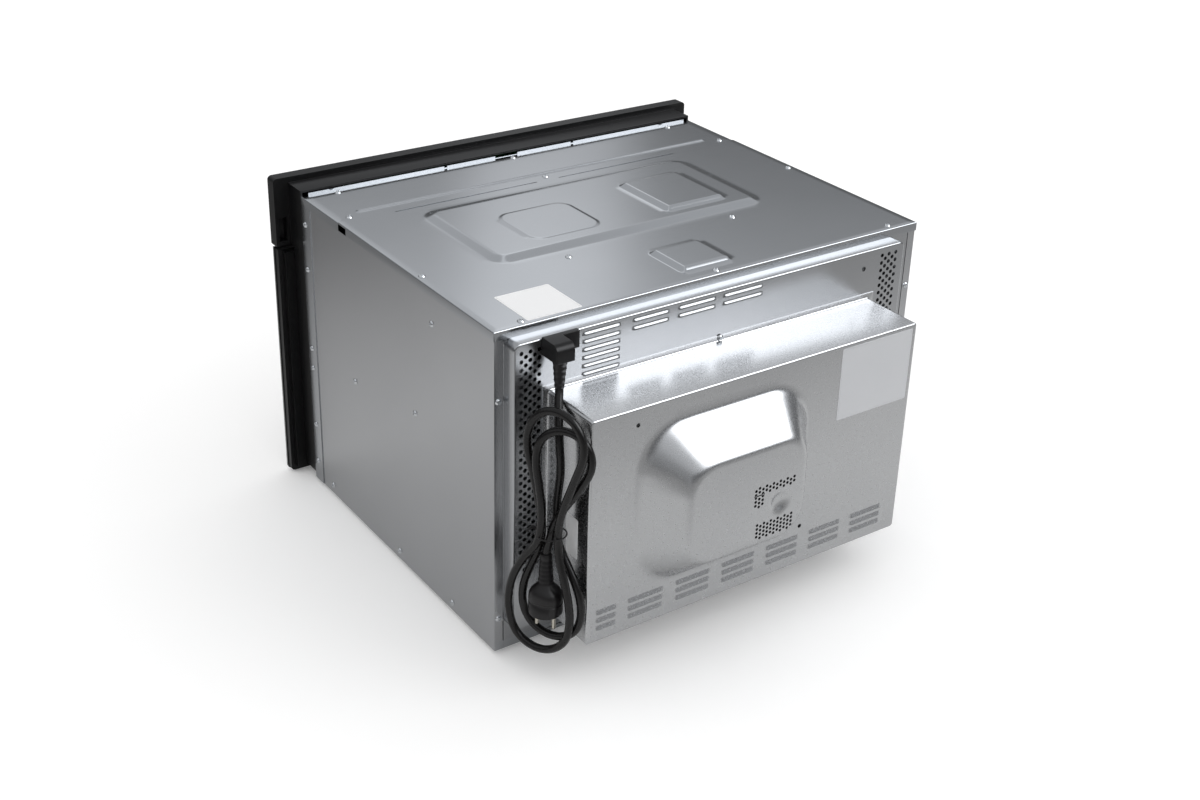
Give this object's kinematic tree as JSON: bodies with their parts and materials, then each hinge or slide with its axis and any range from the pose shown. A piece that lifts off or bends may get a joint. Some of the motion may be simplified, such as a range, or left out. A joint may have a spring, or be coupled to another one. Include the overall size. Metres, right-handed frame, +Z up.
{
  "type": "built-in combination microwave oven",
  "caption": "Built-in combination microwave oven with a drop-down glass door, turntable, hot-air fan, louvred steel casing, domed rear cover and a tied mains cord.",
  "frame": {"origin": "middle of the footprint on the plane of the feet, measured without the mains cord", "axes": "+Z up, -Y the way the door faces, +X to the right of someone who faces the door"},
  "size_m": [0.595, 0.649, 0.39],
  "materials": {
    "zinc_sheet": "satin",
    "steel": "satin",
    "enamel": "gloss",
    "bright_zinc": "polished",
    "black_glass": "gloss",
    "clear_glass": "gloss",
    "black_plastic": "satin",
    "brushed_aluminium": "satin",
    "heater_steel": "satin",
    "motor_steel": "satin",
    "circuit_board": "satin",
    "mica": "satin",
    "rubber_feet": "matte",
    "cord_rubber": "satin"
  },
  "bodies": {
    "cabinet": {"base_plate": "zinc_sheet", "side_panel_left": "zinc_sheet", "side_panel_right": "zinc_sheet", "front_plate": "zinc_sheet", "top_front_strip": "zinc_sheet", "top_cover": "zinc_sheet", "rear_panel": "zinc_sheet", "rear_cover": "zinc_sheet", "hinge_brackets": "steel", "hinge_pins": "steel", "motor_bracket": "steel", "waveguide": "steel", "fan_housing": "steel", "cavity_liner": "enamel", "fan_cover": "enamel", "cover_screws": "bright_zinc", "display_window": "black_glass", "front_surround": "black_plastic", "control_panel": "black_plastic", "interlock_switches": "black_plastic", "encoders": "black_plastic", "blower_housing": "black_plastic", "cord_clamp": "black_plastic", "cord_tie": "black_plastic", "plug": "black_plastic", "capacitor": "brushed_aluminium", "grill_heater": "heater_steel", "ring_heater": "heater_steel", "magnetron": "motor_steel", "convection_motor": "motor_steel", "turntable_motor": "motor_steel", "transformer": "motor_steel", "blower_motor": "motor_steel", "oven_lamp": "motor_steel", "control_board": "circuit_board", "waveguide_cover": "mica", "feet": "rubber_feet", "cord_tube": "cord_rubber", "cord_hank": "cord_rubber"},
    "door": {"door_glass": "black_glass", "door_frame": "black_plastic", "door_choke": "black_plastic", "window_screen": "steel", "inner_glass": "clear_glass", "door_handle": "brushed_aluminium", "latch_hooks": "steel"},
    "left_knob": {"knob_left": "brushed_aluminium"},
    "right_knob": {"knob_right": "brushed_aluminium"},
    "turntable": {"turntable_coupler": "black_plastic", "glass_tray": "clear_glass", "wire_rack": "bright_zinc"},
    "roller_track": {"roller_ring": "black_plastic"},
    "wheel_1": {"roller_wheel_1": "black_plastic"},
    "wheel_2": {"roller_wheel_2": "black_plastic"},
    "wheel_3": {"roller_wheel_3": "black_plastic"},
    "hot_air_fan": {"convection_fan": "steel"},
    "cooling_fan": {"blower_wheel": "steel"}
  },
  "joints": [
    {"name": "door_hinge", "type": "hinge", "parent": "cabinet", "child": "door", "pos_m": [0, -0.271, 0.009], "axis": [1, 0, 0], "range_deg": [0, 90], "stiffness_Nm_per_rad": 2.5, "springref_deg": -34.38},
    {"name": "left_knob_spin", "type": "hinge", "parent": "cabinet", "child": "left_knob", "pos_m": [-0.19, -0.2835, 0.348], "axis": [0, 1, 0], "continuous": true},
    {"name": "right_knob_spin", "type": "hinge", "parent": "cabinet", "child": "right_knob", "pos_m": [0.19, -0.2835, 0.348], "axis": [0, 1, 0], "continuous": true},
    {"name": "turntable_spin", "type": "hinge", "parent": "cabinet", "child": "turntable", "pos_m": [0, -0.06, 0.0746], "axis": [0, 0, 1], "continuous": true},
    {"name": "roller_track_spin", "type": "hinge", "parent": "cabinet", "child": "roller_track", "pos_m": [0, -0.06, 0.0663], "axis": [0, 0, 1], "continuous": true},
    {"name": "hot_air_fan_spin", "type": "hinge", "parent": "cabinet", "child": "hot_air_fan", "pos_m": [0.015, 0.1375, 0.173], "axis": [0, 1, 0], "continuous": true},
    {"name": "cooling_fan_spin", "type": "hinge", "parent": "cabinet", "child": "cooling_fan", "pos_m": [0.225, 0.0875, 0.08], "axis": [1, 0, 0], "continuous": true},
    {"name": "wheel_1_spin", "type": "hinge", "parent": "roller_track", "child": "wheel_1", "pos_m": [0, 0.064, 0.0663], "axis": [0, 1, 0], "continuous": true},
    {"name": "wheel_2_spin", "type": "hinge", "parent": "roller_track", "child": "wheel_2", "pos_m": [-0.10739, -0.122, 0.0663], "axis": [-0.866, -0.5, 0], "continuous": true},
    {"name": "wheel_3_spin", "type": "hinge", "parent": "roller_track", "child": "wheel_3", "pos_m": [0.10739, -0.122, 0.0663], "axis": [0.866, -0.5, 0], "continuous": true}
  ],
  "couplings": [
    {"joint": "roller_track_spin", "follows": "turntable_spin", "ratio": 0.5},
    {"joint": "wheel_1_spin", "follows": "turntable_spin", "ratio": -7.75},
    {"joint": "wheel_2_spin", "follows": "turntable_spin", "ratio": -7.75},
    {"joint": "wheel_3_spin", "follows": "turntable_spin", "ratio": -7.75}
  ]
}
